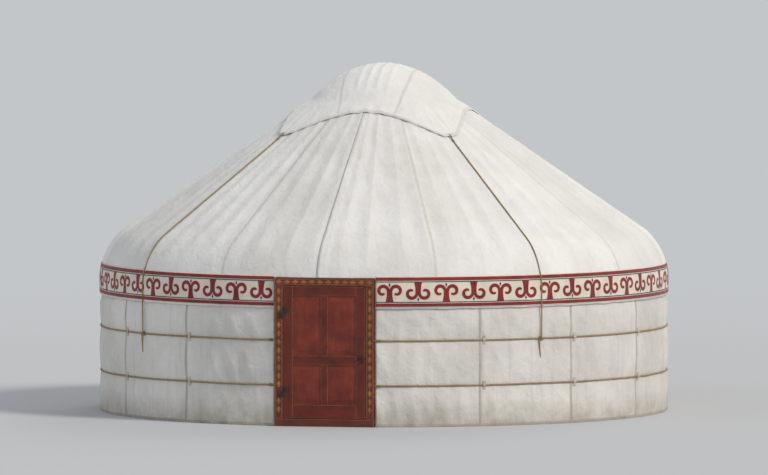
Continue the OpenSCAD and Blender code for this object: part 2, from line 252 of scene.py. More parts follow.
def block(low, high):
    """A plain squared timber between two corners."""
    (x0, y0, z0), (x1, y1, z1) = low, high
    return prism([(x0, y0), (x1, y0), (x1, y1), (x0, y1)], z0, z1)


def joined(name, solids, materials, kinds=None, smooth=False):
    """One object from several solids, each its corners, faces and, on a rope, UVs. kinds holds the number of
    each one's material."""
    corners, faces, slots, uvs = [], [], [], []
    for i, (points, sides, *lay) in enumerate(solids):
        faces.extend([[len(corners) + v for v in side] for side in sides])
        slots.extend([kinds[i] if kinds else 0] * len(sides))
        corners.extend(points.tolist())
        uvs.extend(lay)
    made = mesh_object(name, corners, faces, materials, slots, [smooth] * len(faces))
    if uvs:
        layer = made.data.uv_layers.new(name="lay")
        layer.data.foreach_set("uv", np.concatenate(uvs).astype(np.float32).ravel())
    return made


def timber(name, solids, materials, round_off, kinds=None):
    """Sawn and planed pieces in one object, with their outward faces checked and arrises rounded."""
    made = joined(name, solids, materials, kinds)
    shape = bmesh.new()
    shape.from_mesh(made.data)
    bmesh.ops.recalc_face_normals(shape, faces=shape.faces)
    arrises = [e for e in shape.edges if e.calc_face_angle(0) > math.radians(25)]
    bmesh.ops.bevel(shape, geom=arrises, offset=round_off, segments=2, profile=0.6, affect="EDGES",
                    clamp_overlap=True)
    shape.to_mesh(made.data)
    shape.free()
    return made


def on_body(piece, slot, *nodes, body="yurt"):
    """Fixes a finished piece to its body and hides the nodes that it stands for. slot is not used."""
    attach(piece, body)
    if nodes:
        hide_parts(*nodes)


oxide, oxide_dark = "#97402C", "#6E2A1D"
upright_grain, level_grain = (300, 300, 4), (4, 300, 300)
upright_paint = oil_painted_pine("oil_painted_pine_upright", oxide, oxide_dark, upright_grain)
level_paint = oil_painted_pine("oil_painted_pine_level", oxide, oxide_dark, level_grain)
trodden_pine = oil_painted_pine("trodden_pine", "#8A4A33", oxide_dark, level_grain, wear=0.85)
ochre_paint = oil_painted_pine("ochre_painted_pine", "#C98F3C", "#9A6524", (120, 120, 120), wear=0.3)

sill_low, sill_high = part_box("door_sill")
lintel_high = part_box("door_lintel")[1]
leaf_low, leaf_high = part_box("door_leaf")
front, rear, frame_half = sill_low.y, sill_high.y, sill_high.x
leaf_gap, stop_gap, rebate = 0.006, 0.005, 0.015
arris, trodden_arris, leaf_arris = 0.004, 0.007, 0.003
doorway_half, stop_y = leaf_high.x + leaf_gap, leaf_high.y + stop_gap
doorway_low, doorway_high = sill_high.z, leaf_high.z + leaf_gap
stop_half = doorway_half - rebate

sill = timber("threshold", [block(sill_low, sill_high)], [trodden_pine], trodden_arris)
on_body(sill, "frame_wood", "door_sill")
for side, label in ((-1, "left"), (1, "right")):
    outline = [(side * x, y) for x, y in (
        (doorway_half, front), (frame_half, front), (frame_half, rear),
        (stop_half, rear), (stop_half, stop_y), (doorway_half, stop_y))]
    jamb = timber(f"jamb_{label}", [prism(outline, doorway_low, doorway_high)], [upright_paint], arris)
    on_body(jamb, "frame_wood", f"door_jamb_{label}")
head = [block((-frame_half, front, doorway_high), (frame_half, rear, lintel_high.z)),
        block((-stop_half, stop_y, doorway_high - rebate), (stop_half, rear, doorway_high))]
on_body(timber("lintel", head, [level_paint], arris), "frame_wood", "door_lintel")

# Carving on the frame: a row of raised lozenges between two beads, cut from thin pine, nailed on and picked
# out in ochre. It leaves room for the hinge plates.
lozenge_w, lozenge_h, lozenge_step, bead_w, proud = 0.042, 0.078, 0.088, 0.007, 0.005
knuckle = 0.055


def lozenge(x, z, half_w, half_h):
    """A low four-sided pyramid on the frame's front face."""
    rings = [[(x - half_w, y, z), (x, y, z - half_h), (x + half_w, y, z), (x, y, z + half_h)]
             for y in (front + 0.001, front - 0.0015)]
    return stacked(rings, tip=(x, front - proud, z))


def bead(x0, x1, z0, z1):
    """A thin square bead on the frame's front face."""
    return block((x0, front - 0.003, z0), (x1, front + 0.001, z1))


pins_low, pins_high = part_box("hinge_pins")
plates = (pins_low.z + knuckle / 2, pins_high.z - 1.5 * knuckle)
jamb_mid, lintel_mid = (doorway_half + frame_half) / 2, (doorway_high + lintel_high.z) / 2
bead_out = lozenge_w / 2 + 0.010
rows = int((lintel_high.z - doorway_low - 0.10) / lozenge_step)
first = doorway_low + (lintel_high.z - 0.045 - doorway_low - rows * lozenge_step) / 2
count = int(2 * frame_half / lozenge_step)
carving = []
for side in (-1, 1):
    for z in [first + (row + 0.5) * lozenge_step for row in range(rows)]:
        clear = side > 0 or min(abs(z - plate) for plate in plates) > (lozenge_h + knuckle) / 2
        if clear and z < doorway_high - lozenge_h / 2:
            carving.append((lozenge(side * jamb_mid, z, lozenge_w / 2, lozenge_h / 2), 0))
    for x in (side * jamb_mid - bead_out - bead_w / 2, side * jamb_mid + bead_out - bead_w / 2):
        carving.append((bead(x, x + bead_w, doorway_low + 0.02, doorway_high - 0.01), 1))
for x in [(i - (count - 1) / 2) * lozenge_step for i in range(count)]:
    carving.append((lozenge(x, lintel_mid, lozenge_h / 2, lozenge_w / 2), 0))
for z in (lintel_mid - bead_out + 0.002, lintel_mid + bead_out - 0.009):
    carving.append((bead(-frame_half + 0.01, frame_half - 0.01, z, z + bead_w), 1))
solids, kinds = zip(*carving)
on_body(joined("frame_carving", solids, [ochre_paint, level_paint], kinds), "frame_wood")


# Door leaf: stiles and rails of pine with fielded panels let into them, the same on both faces, painted a
# deeper red. Panels stand in grooves, so that a hair of shadow shows round each one.
leaf_paint = oil_painted_pine("oil_painted_leaf_upright", "#93351F", "#67200F", upright_grain, wear=0.55)
rail_paint = oil_painted_pine("oil_painted_leaf_level", "#93351F", "#67200F", level_grain, wear=0.55)
panel_paint = oil_painted_pine("oil_painted_panel", "#A9482A", "#7C2A17", upright_grain, wear=0.45)
stile_w, mid_stile, foot_rail, mid_rail, lower_panel = 0.095, 0.070, 0.140, 0.095, 0.420
panel_sink, joint_line, field_rise, field_start, field_end = 0.011, 0.0008, 0.006, 0.023, 0.057
x0, x1, z0, z1 = leaf_low.x, leaf_high.x, leaf_low.z, leaf_high.z
panel_w = (x1 - x0 - 2 * stile_w - mid_stile) / 2
foot_top = z0 + foot_rail
levels = [(foot_top, foot_top + lower_panel), (foot_top + lower_panel + mid_rail, z1 - stile_w)]
columns = [(x0 + stile_w, x0 + stile_w + panel_w), (x1 - stile_w - panel_w, x1 - stile_w)]


def member(xa, xb, za, zb):
    """A stile or rail as thick as the leaf."""
    return block((xa, leaf_low.y, za), (xb, leaf_high.y, zb))


def fielded(xa, xb, za, zb):
    """A panel with a raised field and a sloping margin on both faces."""
    near, far = leaf_low.y + panel_sink, leaf_high.y - panel_sink
    return stacked([[(xa + i, y, za + i), (xb - i, y, za + i), (xb - i, y, zb - i), (xa + i, y, zb - i)]
                    for y, i in ((near - field_rise, field_end), (near, field_start), (near, 0.0),
                                 (far, 0.0), (far, field_start), (far + field_rise, field_end))])


uprights = [member(x0, x0 + stile_w, z0, z1), member(x1 - stile_w, x1, z0, z1)]
uprights += [member(-mid_stile / 2, mid_stile / 2, za, zb) for za, zb in levels]
rails = [member(x0 + stile_w + joint_line, x1 - stile_w - joint_line, za, zb)
         for za, zb in ((z0, foot_top - joint_line),
                        (levels[0][1] + joint_line, levels[1][0] - joint_line),
                        (levels[1][1] + joint_line, z1))]
panels = [fielded(xa, xb, za, zb) for xa, xb in columns for za, zb in levels]
leaf = timber("leaf", uprights + rails + panels, [leaf_paint, rail_paint, panel_paint], leaf_arris,
              [0] * len(uprights) + [1] * len(rails) + [2] * len(panels))
on_body(leaf, "door_paint", "door_leaf", body="door")


# Ironwork: hand-forged hinge halves, pull ring and round-headed nails, blackened in the fire. The scale on
# them has a dark, uneven sheen with traces of rust.
def finish_nodes(finish, names):
    """Gives a material to CAD nodes whose shape is right as it is."""
    for name in names:
        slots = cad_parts[name].data.materials
        slots.clear()
        slots.append(finish)


iron, add = material("forged_iron")
place = add("TexCoord").outputs["Object"]
scale = add("TexNoise", Vector=place, Scale=60.0, Detail=6.0, Roughness=0.65)
tone = add("ValToRGB", scale, stops=[(0.35, "#3A3532"), (0.62, "#5B534D"), (0.75, "#6E4631")])
rough = add("MapRange", scale, 0.3, 0.7, 0.38, 0.7)
dents = add("TexVoronoi", Vector=place, Scale=110.0, feature="SMOOTH_F1")
bump = add("Bump", Height=dents, Strength=0.5, Distance=0.0006)
surface(iron, Base_Color=tone, Roughness=rough, Normal=bump, Metallic=1.0)
finish_nodes(iron, ("door_handle", "hinge_pins", "hinge_knuckles"))
plate_face = front - 0.0032


def stud(x, z, radius=0.005, sides=10):
    """A nail's domed head on a hinge plate."""
    rings = [oval((x, plate_face - 0.6 * radius * math.sin(t), z), (radius * math.cos(t), 0, 0),
                  (0, 0, radius * math.cos(t)), sides) for t in (0, math.pi / 6, math.pi / 3)]
    return stacked(rings, tip=(x, plate_face - 0.6 * radius, z), base=False)


for name, body, label, inward, above in (("hinge_pins", "yurt", "frame", 1, 2),
                                         ("hinge_knuckles", "door", "leaf", -1, 1)):
    low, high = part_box(name)
    outer_x = low.x if inward > 0 else high.x
    nails = [stud(outer_x + inward * dx, foot + dz) for dx in (0.018, 0.040)
             for foot in (low.z, high.z - above * knuckle) for dz in (0.013, knuckle - 0.014)]
    on_body(joined(f"hinge_nails_{label}", nails, [iron], smooth=True), "iron", body=body)


# Lattice wall: willow laths in two layers, stained with red ochre, crossing in diamonds and tied through at
# each crossing with a knot of rawhide. The wood is rubbed pale in patches by years of folding.
def ochre_wood(name, dark, light, lie, fibre_along, fibre_across=500.0):
    """Ochre-stained wood, matt. lie turns the angle round the yurt, the distance from its middle and the
    height into a place along and across the fibres, whose density each way is given for one metre."""
    made, add = material(name)
    place = add("TexCoord").outputs["Object"]
    spot = add("VectorMath", place, (1.0, -1.0, 1.0), operation="MULTIPLY")
    spot = add("SeparateXYZ", spot).outputs
    turn = add("Math", spot[0], spot[1], operation="ARCTAN2")
    out = add("VectorMath", add("CombineXYZ", spot[0], spot[1]), operation="LENGTH")
    density = (fibre_along, fibre_across, fibre_across)
    grain = add("VectorMath", lie(add, turn, out, spot[2]), density, operation="MULTIPLY")
    fibres = add("TexNoise", Vector=grain, Scale=1.0, Detail=5.0, Roughness=0.6)
    cloud = add("TexNoise", Vector=place, Scale=7.0, Detail=4.0, Roughness=0.6)
    tone = add("ValToRGB", fibres, stops=[(0.30, dark), (0.70, light)])
    worn = add("MapRange", cloud, 0.56, 0.72)
    pale = add("Mix", Factor=worn, A=tone, B="#A9714A", data_type="RGBA")
    rough = add("MapRange", fibres, 0.3, 0.7, 0.55, 0.8)
    bump = add("Bump", Height=fibres, Strength=0.5, Distance=0.0005)
    return surface(made, Base_Color=pale, Roughness=rough, Normal=bump, IOR=1.45)


lattice_out, lattice_in, layer_r = 2.980, 2.956, 2.9675
cell_h, rows_of_cells, sections, cells = 0.272, 5, 6, 10
lath_w, lath_end, frame_gap = 0.032, 0.045, 0.0004


def beside_frame(radius):
    """The angle from the door at which what goes round the yurt at a radius meets the frame's side."""
    return math.degrees(math.asin((frame_half + frame_gap) / radius))


door_turn = beside_frame(lattice_in)
pitch = (360 - 2 * door_turn) / (sections * cells)
cell_w = 2 * lattice_out * math.tan(math.radians(pitch / 2))
lath_rise = math.atan2(cell_h, cell_w)


def along_lath(add, turn, out, up):
    """The laths of the inner layer rise to the right, and those of the outer one fall."""
    inner = add("Math", out, layer_r, operation="LESS_THAN")
    rise = add("MapRange", inner, 0, 1, lath_rise, -lath_rise)
    girth = add("Math", turn, lattice_in, operation="MULTIPLY")
    unrolled = add("CombineXYZ", girth, up, out)
    return add("VectorRotate", Vector=unrolled, Angle=rise, rotation_type="Z_AXIS")


lath_wood = ochre_wood("ochre_stained_willow_laths", "#6B2416", "#97422A", along_lath, 12.0)
lattice_nodes = [f"lattice_section_{s}" for s in range(1, sections + 1)]
finish_nodes(lath_wood, lattice_nodes)

rawhide, add = material("rawhide")
tone = add("ValToRGB", add("TexNoise", Scale=90.0), stops=[(0.3, "#5B4330"), (0.7, "#8C6E4E")])
surface(rawhide, Base_Color=tone, Roughness=0.55)


def as_points(*parts):
    """Points from their coordinates, each of which is a number or a grid of numbers."""
    return np.stack(np.broadcast_arrays(*parts), -1)


def polar(turn, radius, z):
    """Points at angles from the door, in degrees counter-clockwise from above, at a radius and height."""
    t = np.radians(turn)
    return as_points(radius * np.sin(t), -radius * np.cos(t), z)


def knot(turn, z, size=0.008, sides=7):
    """A rawhide knot, flattened on the inner face of the laths."""
    out, side = polar(turn, 1.0, 0.0), polar(turn + 90, 1.0, 0.0)
    rings = [oval(out * (lattice_in + depth) + (0, 0, z), side * half, (0, 0, half), sides)
             for half, depth in ((size, 0.0005), (0.85 * size, -0.004), (0.35 * size, -0.006))]
    return stacked(rings, base=False)


lattice_foot = lath_end * math.sin(lath_rise) + lath_w / 2 * math.cos(lath_rise)
knots = [knot(door_turn + line / 2 * pitch, lattice_foot + (row + (line % 2) / 2) * cell_h)
         for line in range(1, 2 * sections * cells)
         for row in range(rows_of_cells + 1 - line % 2)]
on_body(joined("lattice_knots", knots, [rawhide], smooth=True), "lath_wood")


# Roof poles and crown: willow poles bent over a fire at the foot, their square tips in the ring, and a ring
# and slats of birch, all in the same ochre.
roof_slope = math.radians(34.5)


def along_pole(add, turn, out, up):
    """Up the slope of a pole, counted from its tip, which is near enough to that of its foot."""
    across = add("Math", turn, out, operation="MULTIPLY")
    place = add("CombineXYZ", out, across, up)
    return add("VectorRotate", Vector=place, Angle=-roof_slope, rotation_type="Y_AXIS")


def round_crown(add, turn, out, up):
    """Round the crown: its ring and slats are bent from long staves."""
    return add("CombineXYZ", turn, out, up)


pole_wood = ochre_wood("ochre_stained_willow_poles", "#6E2818", "#9C472D", along_pole, -12.0)
crown_wood = ochre_wood("ochre_stained_birch", "#672013", "#8F3A24", round_crown, 7.8)
pole_nodes = [f"roof_poles_{s}" for s in range(1, sections + 1)]
finish_nodes(pole_wood, [*pole_nodes, "roof_poles_door"])
finish_nodes(crown_wood, ("crown_ring", "crown_slats"))


# Ropes: three strands of hair and hemp laid right-handed, pale and fuzzy, with painted shade in the grooves
# between the strands. The same yarn ties the pole feet to the lattice heads.
hemp, add = material("laid_hemp_and_hair")
place = add("UVMap", uv_map="lay")
# The yarns of a strand are about 1.5 mm thick: four or five side by side.
yarn = add("Mapping", Vector=place, Scale=(45, 4.5, 1))
yarn = add("TexNoise", Vector=yarn, Scale=1.0, Detail=4.0, Roughness=0.7)
cloud = add("TexNoise", Vector=add("TexCoord").outputs["Object"], Scale=9.0, Detail=3.0)
# Strands meet at whole numbers of the second coordinate, half a strand from its middle.
off = add("Math", add("SeparateXYZ", place).outputs[1], 0.5, operation="PINGPONG")
groove = add("MapRange", off, 0.46, 0.26, 0.9, 0.0)
worn = add("MapRange", cloud, 0.4, 0.75, 0.0, 0.45)
colour = add("ValToRGB", yarn, stops=[(0.3, "#857050"), (0.62, "#BFA679")])
# The dark brown mixed in by groove is painted shade in the hollows between the strands; worn is real wear.
for share, code in ((worn, "#857050"), (groove, "#4A3B28")):
    colour = add("Mix", Factor=share, A=colour, B=code, data_type="RGBA")
bump = add("Bump", Height=yarn, Strength=0.7, Distance=0.0008)
bump = add("Bump", Height=groove, Normal=bump, Strength=0.6, Distance=0.002, invert=True)
surface(hemp, Base_Color=colour, Normal=bump, Roughness=0.92)


def heading(line):
    """The direction of a line at each of its points."""
    ahead = np.gradient(line, axis=0)
    return ahead / np.linalg.norm(ahead, axis=1)[:, None]


def rope_tube(path, radius, sides=12, lay=math.inf, depth=0.0):
    """A rope along a line of points. lay is the length of one turn of its three strands, and depth how far
    the grooves go in, as a share of the radius. The UVs are the length, and the strands counted round it."""
    ahead = heading(path)
    length = np.concatenate([[0], np.cumsum(np.linalg.norm(np.diff(path, axis=0), axis=1))])[:, None]
    side = np.cross(ahead[0], (0.13, 0.31, 0.94))
    across = []
    for a in ahead:
        side = side - a * side.dot(a)
        side /= np.linalg.norm(side)
        across.append(side)
    up = np.cross(ahead, across)
    angle = np.arange(sides) * 2 * np.pi / sides
    groove = np.abs(np.cos(1.5 * (angle - 2 * np.pi * length / lay)))
    size = radius * (1 - depth * (1 - groove))[..., None]
    corners = path[:, None] + size * (np.cos(angle)[:, None] * np.array(across)[:, None]
                                      + np.sin(angle)[:, None] * up[:, None])
    strand = 3 * np.arange(sides + 1) / sides - 3 * length / lay
    uv = as_points(length, strand).reshape(-1, 2)
    n, order = len(path), [0, 3, 2, 1]
    uv = uv[grid_faces(n, sides + 1)[..., order]].reshape(-1, 2)
    faces = grid_faces(n, sides, closed=True)[..., order].reshape(-1, 4).tolist()
    lids = [list(range(sides)), list(range((n - 1) * sides, n * sides))[::-1]]
    return corners.reshape(-1, 3), faces + lids, np.concatenate([uv, np.zeros((2 * sides, 2))])


def wraps(centre, across, along, rise, turns, steps=14):
    """Turns of cord round a post of oval plan, as a helix of points that gains rise with each turn."""
    t = np.arange(turns * steps + 1) / steps
    w = 2 * np.pi * t
    return centre + np.outer(np.cos(w), across) + np.outer(np.sin(w), along) + np.outer(t - turns / 2, rise)


yarn_r, lashing_r, lashing_z = 0.003, 2.9585, lattice_foot + rows_of_cells * cell_h - 0.012
lashing_out, lashing_side, lashing_turns = 0.037, 0.026, 4
lashings = []
for k in range(1, sections * cells):
    out, side = (polar(door_turn + k * pitch + right, 1.0, 0.0) for right in (0, 90))
    coil = wraps(out * lashing_r + (0, 0, lashing_z), out * lashing_out, side * lashing_side,
                 (0, 0, 2 * yarn_r + 0.0002), lashing_turns, 12)
    lashings.append(rope_tube(coil, yarn_r, 5))
on_body(joined("pole_lashings", lashings, [hemp], smooth=True), "rope")


# Wall covers: four lengths of grey wool felt faced with white cotton canvas, each sewn from four widths,
# hung from the lattice heads and girdled by two ropes. The front pair laps over the back pair.
def cotton_canvas(name, light, dark, soil_top=0.0, streaks=0.35, grime=0.5):
    """Plain-woven cotton duck, sun-bleached and matt, with rain streaks and, low down, splashed soil."""
    made, add = material(name)
    cloth, seam = add("UVMap", uv_map="cloth"), add("UVMap", uv_map="seam")
    place = add("TexCoord").outputs["Object"]
    cloud = add("TexNoise", Vector=place, Scale=1.3, Detail=6.0, Roughness=0.62)
    colour = add("ValToRGB", cloud, stops=[(0.30, dark), (0.62, light)])
    width = add("MapRange", add("Attribute", attribute_name="width_tone").outputs["Fac"], 0, 1, 0.89)
    colour = add("VectorMath", colour, width, operation="MULTIPLY")
    run = add("Mapping", Vector=cloth, Scale=(16, 0.8, 1))
    run = add("TexNoise", Vector=run, Scale=1.0, Detail=5.0, Roughness=0.7)
    marks = [(add("MapRange", run, 0.52, 0.78, 0.0, streaks), "#A5A195")]
    if soil_top:
        splash = add("TexNoise", Vector=place, Scale=7.0, Detail=7.0, Roughness=0.7)
        height = add("SeparateXYZ", place).outputs[2]
        level = add("MapRange", height, 0.0, soil_top, 1.0, 0.0)
        level = add("Math", level, splash, operation="MULTIPLY")
        marks.append((add("MapRange", level, 0.12, 0.62, 0.0, 0.62), "#8D7B60"))
    # Dust settles along the felled edges.
    off = add("SeparateXYZ", seam).outputs
    away = add("Math", off[0], operation="ABSOLUTE")
    dust = add("MapRange", away, 0.006, 0.024, grime, 0.0)
    marks.append((add("Math", dust, cloud, operation="MULTIPLY"), "#898273"))
    # Two rows of stitches, 8 mm either side of each seam. A stitch is 3 mm long; drawn 8 mm long to show.
    row = add("Math", away, 0.008, 0.0011, operation="COMPARE")
    beat = add("Math", off[1], 125.0, operation="MULTIPLY")
    beat = add("Math", add("Math", beat, operation="FRACT"), 0.62, operation="LESS_THAN")
    stitch = add("Math", row, beat, operation="MULTIPLY")
    for share, code in (*marks, (stitch, "#7F796C")):
        colour = add("Mix", Factor=share, A=colour, B=code, data_type="RGBA")
    # Uneven yarns, thicker here and there for a hand's length, run both ways through hand-woven canvas.
    yarns = [add("Mapping", Vector=cloth, Scale=scale) for scale in ((380, 12, 1), (12, 380, 1))]
    warp, weft = (add("TexNoise", Vector=yarn, Scale=1.0) for yarn in yarns)
    slubs = add("Math", warp, weft, operation="ADD")
    slub_tone = add("MapRange", slubs, 0.6, 1.4, 0.94, 1.04)
    colour = add("VectorMath", colour, slub_tone, operation="MULTIPLY")
    # Threads lie 0.6 mm apart; drawn at 1.6 mm, so that the weave can be seen at all.
    weave = add("VectorMath", cloth, (2 * math.pi / 0.0016,) * 3, operation="MULTIPLY")
    weave = add("SeparateXYZ", add("VectorMath", weave, operation="SINE")).outputs
    threads = add("Math", weave[0], weave[1], operation="MULTIPLY")
    crumple = add("TexNoise", Vector=place, Scale=10.0, Detail=3.5, Roughness=0.52, Distortion=0.5)
    bump = add("NewGeometry").outputs["Normal"]
    for height, strength, depth in ((crumple, 0.8, 0.018), (slubs, 0.6, 0.0012), (threads, 0.35, 0.0003),
                                    (stitch, 0.5, 0.0008)):
        bump = add("Bump", Height=height, Normal=bump, Strength=strength, Distance=depth,
                   invert=height is stitch)
    return surface(made, Base_Color=colour, Normal=bump, Roughness=0.88,
                   Sheen_Weight=0.12, Sheen_Roughness=0.6)


def wool_felt(name, light, dark):
    """Hand-rolled sheep's wool felt: dense, fuzzy and flecked."""
    made, add = material(name)
    place = add("TexCoord").outputs["Object"]
    flecks = add("TexNoise", Vector=place, Scale=120.0, Detail=4.0, Roughness=0.7)
    cloud = add("TexNoise", Vector=place, Scale=4.0, Detail=4.0)
    tone = add("ValToRGB", cloud, stops=[(0.3, dark), (0.7, light)])
    fleck = add("MapRange", flecks, 0.5, 0.75, 0.0, 0.6)
    colour = add("Mix", Factor=fleck, A=tone, B="#6F6557", data_type="RGBA")
    bump = add("Bump", Height=flecks, Strength=0.6, Distance=0.001)
    return surface(made, Base_Color=colour, Normal=bump, Roughness=0.95,
                   Sheen_Weight=0.3, Sheen_Roughness=0.5)


def ripples(turn, along, seed, count, low, high, drift):
    """Irregular folds, from about -1 to 1: waves round the yurt that wander a little along the other way."""
    draw = np.random.default_rng(seed)
    total = 0
    for _ in range(count):
        waves, size = draw.integers(low, high), draw.uniform(0.5, 1.0)
        start, pace, lead = draw.uniform(0, 2 * np.pi), draw.uniform(0.8, 3.0), draw.uniform(0, 2 * np.pi)
        total = total + size * np.cos(waves * np.radians(turn) + start + drift * np.sin(pace * along + lead))
    return total / (0.55 * count)


def ease(x, start, end):
    """0 before start, 1 after end, and smooth between."""
    t = np.clip((np.asarray(x, float) - start) / (end - start), 0, 1)
    return t * t * (3 - 2 * t)


def bell(x, width):
    """1 at 0, and near 0 past a width to either side."""
    return np.exp(-(x / width) ** 2)


def closed_cloth(outer, inner, keep=None, domed=False):
    """A closed piece of cloth from the grids of its outer and inner faces: rows run up, columns round. A
    domed one goes all the way round, and its last row is a small ring that gets a lid. Gives the corners,
    the faces, their kinds (outer, inner, cut edge), and the grid points of the faces' corners and of the
    corners."""
    rows, columns = outer.shape[:2]
    n = rows * columns
    quads = grid_faces(rows, columns, domed)
    quads = quads[keep] if keep is not None else quads.reshape(-1, 4)
    edges = np.concatenate([quads[:, [i, (i + 1) % 4]] for i in range(4)])
    _, index, count = np.unique(edges.min(1) * n + edges.max(1), return_index=True, return_counts=True)
    rim = edges[index[count == 1]]
    lids = []
    if domed:
        rim = rim[rim.min(1) < n - columns]
        lids = [np.arange(n - columns, n), np.arange(2 * n - 1, 2 * n - columns - 1, -1)]
    faces = np.concatenate([quads, quads[:, ::-1] + n,
                            np.stack([rim[:, 1], rim[:, 0], rim[:, 0] + n, rim[:, 1] + n], -1)])
    kinds = [0] * len(quads) + [1] * len(quads) + [2] * len(rim) + [0, 1][:len(lids)]
    used = np.unique(faces)
    renumber = np.zeros(2 * n, int)
    renumber[used] = np.arange(len(used))
    points = np.concatenate([outer.reshape(-1, 3), inner.reshape(-1, 3)])[used]
    numbered = renumber[faces].tolist() + [renumber[lid].tolist() for lid in lids]
    return points, numbered, kinds, np.concatenate([faces.ravel(), *lids]) % n, used % n


def cloth(name, outer, inner, materials, uv, seam, tone, keep=None, domed=False):
    """A piece of cloth with a material for each kind of face. uv, seam and tone are given on its grid."""
    tone = np.broadcast_to(tone, outer.shape[:2])
    points, faces, kinds, spots, used = closed_cloth(outer, inner, keep, domed)
    slots = [min(kind, len(materials) - 1) for kind in kinds]
    made = mesh_object(name, points.tolist(), faces, materials, slots, [slot < 2 for slot in slots])
    for label, values in (("cloth", uv), ("seam", seam)):
        layer = made.data.uv_layers.new(name=label)
        layer.data.foreach_set("uv", values.reshape(-1, 2)[spots].astype(np.float32).ravel())
    layer = made.data.attributes.new("width_tone", "FLOAT", "POINT")
    layer.data.foreach_set("value", tone.ravel()[used].astype(np.float32))
    return made


def stops_between(start, end, step, extra=()):
    """Even stops from start to end, with some others put in."""
    even = np.linspace(start, end, int(math.ceil((end - start) / step)) + 1)
    put_in = [x for x in extra if start < x < end]
    return np.unique(np.round(np.concatenate([even, put_in]), 6))


def laid_out(start, sweep, laps, reach, widths, degree, step, beside=(0,), extra=()):
    """A quarter's cover laid out round the yurt, for so many metres to a degree: the columns of its grid in
    degrees, how far each is from the nearest inner seam, past the quarter at a lap, inside the cover's sides
    and from the line that its stitches follow, and its tone."""
    end, seams = start + sweep, start + np.arange(widths + 1) * sweep / widths
    turns = stops_between(start - reach * laps[0], end + reach * laps[1], step,
                          [*(seams[:, None] + beside).ravel(), start - 0.001, end + 0.001, *extra])
    from_seam = turns[:, None] - seams[1:-1]
    nearest = from_seam[np.arange(len(turns)), np.abs(from_seam).argmin(1)] * degree
    past = np.maximum(start - turns - 90 * (1 - laps[0]), turns - end - 90 * (1 - laps[1])) * degree
    inside = np.minimum(turns - turns[0], turns[-1] - turns) * degree
    mark = np.where(inside < 0.03, inside - 0.013, np.abs(nearest))
    width = np.clip(((turns - start) / (sweep / widths)).astype(int), 0, widths - 1)
    return turns, nearest, past, inside, mark, tones.uniform(0, 1, widths)[width]


wall_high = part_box("wall_cover_front_right")[1]
wall_r, wall_top, cover_t = wall_high.x, wall_high.z, 0.012
wall_in = wall_r - cover_t
girths = ("wall_rope_lower", "wall_rope_upper")
rope_zs = [sum(corner.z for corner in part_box(name)) / 2 for name in girths]
roof_low, roof_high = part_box("roof_cover_front_right")
eave_z = roof_low.z
wall_start = beside_frame(wall_in) + 0.01
quarter = (360 - 2 * wall_start) / 4
breadths, lap_w, felled_w, hem_w, hem_t = 4, 0.072, 0.011, 0.026, 0.0012
rope_turns = (45, 135, 225, 315)
degree = math.radians(1) * wall_r
# Each quarter of the covers, with a 1 at its start or end where it laps over its neighbour.
quarter_laps = {"front_right": (0, 1), "back_right": (0, 1), "back_left": (0, 0), "front_left": (1, 0)}


def wall_swell(turn, z):
    """How far the canvas stands out from the felt's true circle: it bellies between the ropes, hangs in
    upright folds, is gathered in pleats where a rope girds it and lies flat under the roof cover's edge."""
    belly = 0
    for low, high, most in ((-0.12, rope_zs[0], 0.015), (rope_zs[0], rope_zs[1], 0.018),
                            (rope_zs[1], eave_z + 0.02, 0.013)):
        belly = belly + most * np.sin(np.pi * np.clip((z - low) / (high - low), 0, 1)) ** 0.7
    near = np.clip(sum(np.exp(-np.abs(z - r) / 0.075) for r in rope_zs), 0, 1)
    pinch = sum(bell(z - r, 0.020) for r in rope_zs)
    under = ease(z, eave_z - 0.13, eave_z - 0.015)
    slack = 0.85 + 0.40 * ripples(turn, z, 13, 6, 5, 22, 0.6)
    folds = 0.0075 * ripples(turn, z, 11, 9, 34, 110, 1.6) * (1 - 0.7 * near)
    creases = 0.0065 * (1 - 2 * np.abs(ripples(turn + 9 * z, z, 15, 6, 24, 60, 2.2))) * (1 - 0.8 * near)
    pleats = 0.0070 * ripples(turn, z, 12, 8, 80, 140, 0.5) * near * (1 - 0.7 * pinch)
    laths = 0
    for sign in (1, -1):
        line = np.radians(turn - door_turn) * lattice_out / cell_w + sign * (z - lattice_foot) / cell_h
        laths = laths + bell((line - np.round(line)) * cell_w * math.sin(lath_rise), 0.020)
    laths = laths * (0.0008 + 0.0012 * near)
    foot = 0.011 * ripples(turn, z, 14, 8, 22, 70, 0.3) * (1 - ease(z, 0.0, 0.16))
    swell = (belly * slack + folds + creases + pleats + laths + foot) * (1 - under) - 0.0016 * pinch
    for r in rope_turns:
        off = ((turn - r + 180) % 360 - 180) * degree
        swell = swell - 0.006 * bell(off, 0.035) * ease(z, rope_zs[1], rope_zs[1] + 0.1) * (1 - under)
    return np.clip(swell, -0.0012, 0.028 - 0.0268 * under)
